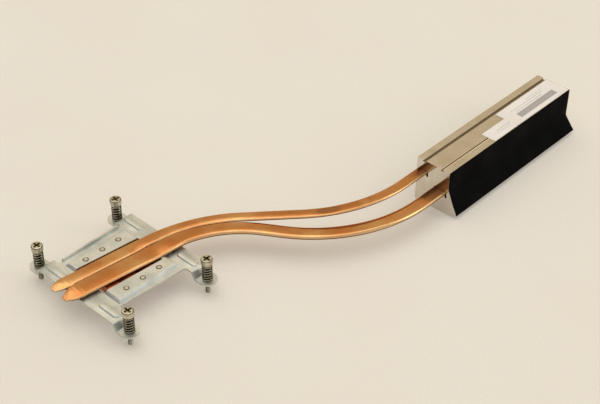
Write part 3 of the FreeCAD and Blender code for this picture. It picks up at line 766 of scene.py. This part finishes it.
def heat_pipe(name, stations, finish, dented):
    """A flattened tube through its stations, with a round nose, crimp marks and perhaps the dent."""
    centres, forward, sides, tops, widths, heights = stations
    from_tip = np.clip((centres[:, 1] - centres[0, 1]) / PIPE_TIP_LENGTH, 0, 1)
    widths = widths + PIPE_TIP_BULGE * np.sin(np.pi * from_tip ** PIPE_TIP_BLUNTNESS)
    nose = []
    for step in range(PIPE_NOSE_STEPS):
        angle = math.pi / 2 * (step + 1) / (PIPE_NOSE_STEPS + 1)
        shrink = math.sin(angle)
        place = centres[0] - forward[0] * PIPE_NOSE_LENGTH * math.cos(angle)
        nose.append((place, sides[0], tops[0], widths[0] * shrink, heights[0] * shrink))
    rows = nose + list(zip(centres, sides, tops, widths, heights))
    along = np.cumsum([0] + [np.linalg.norm(b[0] - a[0]) for a, b in zip(rows, rows[1:])])
    vertices = []
    for (centre, side, top, width, thickness), distance in zip(rows, along):
        for across, up in flat_tube_ring(width, thickness):
            pressed = min(crimp(distance, across), abs(up) / 2) if up > 0 else 0
            if dented and up > 0:
                pressed += dent(centre[1], across, width) * up / (thickness / 2)
            vertices.append(centre + side * across + top * (up - pressed))
    unrolled = [across + up for across, up in flat_tube_ring(widths.max(), heights.max())]
    around = len(unrolled)
    mesh = mesh_from(name, vertices, tube_faces(len(rows), around))
    layer = mesh.uv_layers.new(name="run")
    for loop in mesh.loops:
        ring, step = divmod(loop.vertex_index, around)
        layer.data[loop.index].uv = (along[ring], unrolled[step])
    add_piece(f"{name}_drawn", mesh, finish, "cooler", name, ROUND_FORM_SHARP_ANGLE)


def clean_shape(name):
    """A CAD node's mesh with its flat faces whole."""
    shape = bmesh.new()
    shape.from_mesh(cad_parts[name].data)
    bmesh.ops.remove_doubles(shape, verts=shape.verts, dist=WELD_DISTANCE)
    bmesh.ops.dissolve_limit(
        shape, angle_limit=FLAT_ANGLE, verts=shape.verts, edges=shape.edges, delimit=set()
    )
    return shape


def mesh_of(shape, name):
    mesh = bpy.data.meshes.new(name)
    shape.to_mesh(mesh)
    shape.free()
    return mesh


def round_edges(piece, edge, segments):
    rounding = piece.modifiers.new("rounding", "BEVEL")
    rounding.width = edge
    rounding.segments = segments
    rounding.limit_method = "ANGLE"
    rounding.angle_limit = ROUNDING_ANGLE
    rounding.harden_normals = True


def rounded_copy(name, finish, body, edge, segments=2):
    """Copy of a CAD node with its sharp edges rounded."""
    mesh = mesh_of(clean_shape(name), f"{name}_rounded")
    piece = add_piece(f"{name}_rounded", mesh, finish, body, name)
    round_edges(piece, edge, segments)


def thin_fin(name, sheet, pitch):
    """A CAD fin with a thinner sheet and flanges shortened to the fins shown, its near face at Y = 0."""
    shape = clean_shape(name)
    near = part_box(name)[0][1]
    for vertex in shape.verts:
        depth = vertex.co.y - near
        if depth <= sheet + FIN_LEVEL_TOLERANCE:
            vertex.co.y = depth * FIN_SHEET / sheet
        else:
            vertex.co.y = FIN_SHEET + (depth - sheet) * (pitch / FIN_SPLIT - FIN_SHEET) / (pitch - sheet)
    return mesh_of(shape, f"{name}_thin")


def add_block(shape, low, high):
    """Adds a box between two corners to a shape."""
    made = bmesh.ops.create_cube(shape, size=1)["verts"]
    for vertex in made:
        vertex.co = Vector(a + (b - a) * (c + 0.5) for a, b, c in zip(low, high, vertex.co))


def add_slot_channels(shape, name, near, far):
    """Adds the folded walls and floors of a fin's two top slots."""
    back, _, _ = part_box(name)[0]
    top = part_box(name)[1][2]
    floor = top - SLOT_FLOOR_DEPTH
    for start, end in SLOT_SPANS:
        left, right = back + start, back + end
        add_block(shape, (left, near, floor - FIN_SHEET), (right, far, floor))
        for wall in (left - FIN_SHEET, right):
            add_block(shape, (wall, near, floor - FIN_SHEET), (wall + FIN_SHEET, far, top - SLOT_WALL_TOP))


def with_gusset_foot(mesh):
    """The end fin with the corner below its side wing filled down to its foot."""
    points = [vertex.co.copy() for vertex in mesh.vertices]
    tip = max(points, key=lambda point: point.x)
    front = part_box("fin_02")[1][0]
    foot = min(point.z for point in points)
    outline = [(front, foot), (tip.x, tip.z), (front, tip.z)]
    shape = bmesh.new()
    shape.from_mesh(mesh)
    near, far = ([shape.verts.new((x, y, z)) for x, z in outline] for y in (0, FIN_SHEET))
    shape.faces.new(near)
    shape.faces.new(reversed(far))
    for index in range(len(outline)):
        following = (index + 1) % len(outline)
        shape.faces.new((near[following], near[index], far[index], far[following]))
    return mesh_of(shape, "end_fin")


def fin_stack(finish):
    """Every CAD fin but the last as several thin fins with folded slots, and the last as the end plate."""
    names = sorted(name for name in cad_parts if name.startswith("fin_"))
    first, second, last = names[0], names[1], names[-1]
    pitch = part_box(second)[0][1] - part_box(first)[0][1]
    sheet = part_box(last)[1][1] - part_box(last)[0][1]
    end_fin = with_gusset_foot(thin_fin(first, sheet, pitch))
    inner_fin = thin_fin(second, sheet, pitch)
    for name in names[:-1]:
        shape = bmesh.new()
        for index in range(FIN_SPLIT):
            copy = (end_fin if name == first and index == 0 else inner_fin).copy()
            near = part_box(name)[0][1] + index * pitch / FIN_SPLIT
            copy.transform(Matrix.Translation((0, near, 0)))
            shape.from_mesh(copy)
            add_slot_channels(shape, name, near, near + pitch / FIN_SPLIT)
        mesh = mesh_of(shape, f"{name}_folded")
        piece = add_piece(f"{name}_folded", mesh, finish, "cooler", name)
        round_edges(piece, FIN_EDGE, 1)
    rounded_copy(last, finish, "cooler", FIN_EDGE, 1)


def screw_profile(tip, top):
    """Neck, plain shank and head of a screw, as (radius, height) pairs from the thread to the crown."""
    head_radius = (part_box("mounting_screw_1")[1][0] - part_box("mounting_screw_1")[0][0]) / 2
    head_foot = top - HEAD_HEIGHT
    neck_foot = tip + THREAD_LENGTH
    profile = [
        (NECK_RADIUS, neck_foot), (NECK_RADIUS, neck_foot + NECK_LENGTH),
        (SHANK_RADIUS, neck_foot + NECK_LENGTH + NECK_SHOULDER), (SHANK_RADIUS, head_foot),
        (head_radius - HEAD_FOOT_CHAMFER, head_foot), (head_radius, head_foot + HEAD_FOOT_CHAMFER),
    ]
    for step in range(HEAD_EDGE_STEPS + 1):
        angle = math.pi / 2 * step / HEAD_EDGE_STEPS
        inward = HEAD_EDGE_ROUND * (1 - math.cos(angle))
        down = HEAD_EDGE_ROUND * (1 - math.sin(angle))
        profile.append((head_radius - inward, top - down))
    profile.append((CROWN_HOLE_RADIUS, top))
    return profile


def screw_mesh(tip, top):
    """One screw about the Z axis: threaded tip, relieved neck, plain shank and a round head."""
    rings = []
    rows = int(THREAD_LENGTH / THREAD_PITCH * THREAD_ROWS_PER_PITCH)
    turns = [2 * math.pi * step / TURN_STEPS for step in range(TURN_STEPS)]
    for row in range(rows + 1):
        height = THREAD_LENGTH * row / rows
        taper = min(1, TIP_TAPER_SHARE + (1 - TIP_TAPER_SHARE) * height / TIP_TAPER_LENGTH)
        fade = min(1, (THREAD_LENGTH - height) / THREAD_PITCH)
        ring = []
        for angle in turns:
            phase = (height / THREAD_PITCH - angle / (2 * math.pi)) % 1
            cut = THREAD_DEPTH * abs(2 * phase - 1)
            radius = (SHANK_RADIUS - cut) * taper * fade + NECK_RADIUS * (1 - fade)
            ring.append((radius * math.cos(angle), radius * math.sin(angle), tip + height))
        rings.append(ring)
    for radius, height in screw_profile(tip, top):
        rings.append([(radius * math.cos(angle), radius * math.sin(angle), height) for angle in turns])
    vertices = [point for ring in rings for point in ring]
    return mesh_from("screw", vertices, tube_faces(len(rings), TURN_STEPS))


def recess_cutter(top):
    """Tapered cross that cuts the driver recess."""
    shape = bmesh.new()
    for turn in (0, math.pi / 2):
        corners = []
        for height, share in ((top + RECESS_OVERSHOOT, RECESS_MOUTH), (top - RECESS_DEPTH, RECESS_TAPER)):
            for x, y in ((1, 1), (-1, 1), (-1, -1), (1, -1)):
                point = Vector((x * RECESS_HALF_LENGTH * share, y * RECESS_HALF_WIDTH * share, height))
                corners.append(shape.verts.new(Matrix.Rotation(turn, 3, "Z") @ point))
        shape.faces.new(corners[0:4])
        shape.faces.new(reversed(corners[4:8]))
        for side in range(4):
            following = (side + 1) % 4
            shape.faces.new((corners[side], corners[side + 4], corners[following + 4], corners[following]))
    bmesh.ops.recalc_face_normals(shape, faces=shape.faces)
    return mesh_of(shape, "recess")


def cut_mesh(mesh, cutter):
    """The mesh with the cutter's volume removed."""
    body = bpy.data.objects.new("cut_body", mesh)
    tool = bpy.data.objects.new("cut_tool", cutter)
    for item in (body, tool):
        bpy.context.collection.objects.link(item)
    cutting = body.modifiers.new("cut", "BOOLEAN")
    cutting.object = tool
    cutting.solver = "EXACT"
    cutting.use_self = True
    result = bpy.data.meshes.new_from_object(body.evaluated_get(bpy.context.evaluated_depsgraph_get()))
    for item in (body, tool):
        bpy.data.objects.remove(item)
    return result


def screws(finish):
    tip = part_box("mounting_screw_1")[0][2]
    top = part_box("mounting_screw_1")[1][2]
    model = cut_mesh(screw_mesh(tip, top), recess_cutter(top))
    for number, degrees in zip(SCREW_NUMBERS, RECESS_TURNS):
        low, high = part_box(f"mounting_screw_{number}")
        place = Matrix.Translation(((low[0] + high[0]) / 2, (low[1] + high[1]) / 2, 0))
        mesh = model.copy()
        mesh.transform(place @ Matrix.Rotation(math.radians(degrees), 4, "Z"))
        add_piece(
            f"mounting_screw_{number}_threaded", mesh, finish, f"screw_{number}",
            f"mounting_screw_{number}", SCREW_SHARP_ANGLE,
        )


def coil_mesh(name):
    """Round-wire coil in a CAD spring's place, with its end turns closed."""
    low, high = (np.array(corner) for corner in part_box(name))
    centre = (low + high) / 2
    coil = (high[0] - low[0]) / 2 - SPRING_WIRE_RADIUS
    foot = low[2] + SPRING_WIRE_RADIUS
    rise = high[2] - low[2] - 2 * SPRING_WIRE_RADIUS
    closed = SPRING_CLOSED_PITCH * SPRING_WIRE_RADIUS
    steps = SPRING_TURNS * SPRING_STEPS_PER_TURN
    vertices = []
    for step in range(steps + 1):
        turn = step / SPRING_STEPS_PER_TURN
        angle = 2 * math.pi * turn
        middle = min(max((turn - 1) / (SPRING_TURNS - 2), 0), 1)
        end_turns = min(turn, 1) + max(turn - SPRING_TURNS + 1, 0)
        height = foot + closed * end_turns + (rise - 2 * closed) * middle
        out = np.array((math.cos(angle), math.sin(angle), 0))
        point = np.array((centre[0], centre[1], height)) + out * coil
        for side in range(SPRING_WIRE_STEPS):
            around = 2 * math.pi * side / SPRING_WIRE_STEPS
            vertices.append(point + SPRING_WIRE_RADIUS * (out * math.cos(around) + UP * math.sin(around)))
    return mesh_from(name, vertices, tube_faces(steps + 1, SPRING_WIRE_STEPS))


def springs(finish):
    """Coils in the CAD springs' places, riding on the cooler, each with a mesh of its own."""
    for number in SCREW_NUMBERS:
        name = f"compression_spring_{number}"
        piece = add_piece(
            f"{name}_coil", coil_mesh(name), finish, "cooler", name, ROUND_FORM_SHARP_ANGLE
        )
        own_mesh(piece)


def flap_line(share, low, high, bend):
    """Point on the flap's inner face, from its top edge (0) to its lower edge (1): upright, bent, flared."""
    top = np.array((low[0], high[2]))
    corner = np.array((low[0], bend))
    foot = np.array((high[0] - FLAP_THICKNESS, low[2]))
    upper = corner + unit(top - corner) * FLAP_BEND_REACH
    lower = corner + unit(foot - corner) * FLAP_BEND_REACH
    if share < 1 / 3:
        return top + (upper - top) * share * 3
    if share > 2 / 3:
        return lower + (foot - lower) * (share * 3 - 2)
    turn = share * 3 - 1
    return upper * (1 - turn) ** 2 + corner * 2 * turn * (1 - turn) + lower * turn ** 2


def flap_mesh():
    low, high = (np.array(corner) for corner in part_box("baffle_flap"))
    floor = cad_low[2]
    vertices = []
    for column in range(FLAP_STEPS_ALONG + 1):
        share = column / FLAP_STEPS_ALONG
        y = low[1] + (high[1] - low[1]) * share
        bend = floor + FLAP_BEND_NEAR + (FLAP_BEND_FAR - FLAP_BEND_NEAR) * share
        wave = math.sin(y / FLAP_RIPPLE_SHORT) * math.sin(y / FLAP_RIPPLE_LONG)
        for row in range(FLAP_STEPS_DOWN + 1):
            down = row / FLAP_STEPS_DOWN
            x, z = flap_line(down, low, high, bend)
            vertices.append((x + FLAP_RIPPLE * down * (1 - down) * (1 + wave), y, z))
    tall = FLAP_STEPS_DOWN + 1
    faces = []
    for column in range(FLAP_STEPS_ALONG):
        for row in range(FLAP_STEPS_DOWN):
            start = column * tall + row
            faces.append((start, start + 1, start + tall + 1, start + tall))
    return mesh_from("flap", vertices, faces)


def film_flap(finish):
    piece = add_piece(
        "baffle_flap_film", flap_mesh(), finish, "cooler", "baffle_flap",
        ROUND_FORM_SHARP_ANGLE,
    )
    thick = piece.modifiers.new("thickness", "SOLIDIFY")
    thick.thickness = FLAP_THICKNESS
    thick.offset = 1


def labels(finish):
    for name in ("label_large", "label_small"):
        low, high = (Vector(corner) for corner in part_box(name))
        shape = bmesh.new()
        bmesh.ops.create_cube(shape, size=1)
        size = high - low
        for vertex in shape.verts:
            vertex.co = (low + high) / 2 + Vector(c * s for c, s in zip(vertex.co, size))
        upright = [
            edge for edge in shape.edges
            if abs(edge.verts[0].co.z - edge.verts[1].co.z) > size.z / 2
        ]
        bmesh.ops.bevel(
            shape, geom=upright, offset=LABEL_CORNER, segments=LABEL_CORNER_STEPS,
            profile=0.5, affect="EDGES",
        )
        add_piece(f"{name}_stock", mesh_of(shape, name), finish, "cooler", name)


# Stage

def area_lamp(name, place, size, power, colour):
    lamp = bpy.data.lights.new(name, "AREA")
    lamp.shape = "RECTANGLE"
    lamp.size, lamp.size_y = size
    lamp.energy = power
    lamp.color = colour
    holder = bpy.data.objects.new(name, lamp)
    bpy.context.collection.objects.link(holder)
    holder.location = place
    holder.rotation_euler = (LIGHT_TARGET - Vector(place)).to_track_quat("-Z", "Y").to_euler()


def sky():
    """Soft room light: dim at the horizon, bright overhead, with a warm wall and a dim corner."""
    world = bpy.data.worlds.new("studio")
    bpy.context.scene.world = world
    world.use_nodes = True
    tree = world.node_tree
    background = next(found for found in tree.nodes if found.type == "BACKGROUND")
    direction = node(tree, "ShaderNodeTexCoord").outputs["Generated"]
    ramp = node(tree, "ShaderNodeValToRGB", {"Fac": axis(tree, direction, "Z")})
    stops = ramp.color_ramp.elements
    while len(stops) < len(SKY_STOPS):
        stops.new(0.5)
    for stop, (position, tone) in zip(stops, SKY_STOPS):
        stop.position = position
        stop.color = tone
    colour = ramp.outputs["Color"]
    for side, tone, fade in ((WALL_SIDE, WALL_COLOUR, WALL_FADE), (DIM_SIDE, DIM_COLOUR, DIM_FADE)):
        facing = node(
            tree, "ShaderNodeVectorMath", {0: direction, 1: side.normalized()}, operation="DOT_PRODUCT"
        )
        colour = blend(tree, spread(tree, facing.outputs["Value"], *fade, 0, 1), colour, tone)
    feed(tree, background.inputs["Color"], colour)


def stage():
    bpy.ops.mesh.primitive_plane_add(size=FLOOR_SIZE, location=(0, 0, cad_low[2]))
    floor = bpy.context.object
    floor.name = "floor"
    floor.data.materials.append(floor_paper())
    area_lamp("key", KEY_PLACE, KEY_SIZE, KEY_POWER, KEY_COLOUR)
    area_lamp("window", WINDOW_PLACE, WINDOW_SIZE, WINDOW_POWER, WINDOW_COLOUR)
    sky()


def camera():
    lens = bpy.data.cameras.new("camera")
    lens.lens = CAMERA_LENS
    lens.sensor_width = CAMERA_SENSOR
    lens.sensor_fit = "HORIZONTAL"
    holder = bpy.data.objects.new("camera", lens)
    bpy.context.collection.objects.link(holder)
    holder.matrix_world = (
        Matrix.Translation(CAMERA_PLACE)
        @ Matrix.Rotation(CAMERA_HEADING, 4, "Z")
        @ Matrix.Rotation(math.pi / 2 - CAMERA_PITCH, 4, "X")
        @ Matrix.Rotation(CAMERA_ROLL, 4, "Z")
    )
    bpy.context.scene.camera = holder


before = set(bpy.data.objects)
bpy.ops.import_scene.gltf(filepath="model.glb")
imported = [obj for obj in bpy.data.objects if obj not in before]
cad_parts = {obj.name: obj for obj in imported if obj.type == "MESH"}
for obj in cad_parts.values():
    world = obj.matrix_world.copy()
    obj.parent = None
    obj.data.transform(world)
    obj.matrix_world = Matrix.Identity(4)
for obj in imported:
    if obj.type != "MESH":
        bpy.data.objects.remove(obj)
cad_low, cad_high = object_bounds()

copper = drawn_copper()
rear_stations = pipe_stations("rear_heat_pipe")
front_stations = pipe_stations("front_heat_pipe")
draw_together(rear_stations, front_stations)
fill_waist(front_stations)
heat_pipe("front_heat_pipe", front_stations, copper, dented=False)
heat_pipe("rear_heat_pipe", rear_stations, copper, dented=True)
rounded_copy("mounting_bracket", plated_steel(), "cooler", BRACKET_EDGE)
rounded_copy("base_plate", machined_copper(), "cooler", BASE_EDGE)
ring_finish = ring_steel()
for number in SCREW_NUMBERS:
    rounded_copy(f"retaining_ring_{number}", ring_finish, f"ring_{number}", RING_EDGE)
screws(screw_nickel())
springs(spring_wire())
film_flap(black_film())
labels(label_paper())
fin_stack(fin_nickel())

stage()
camera()
bpy.context.scene.view_settings.view_transform = "Standard"
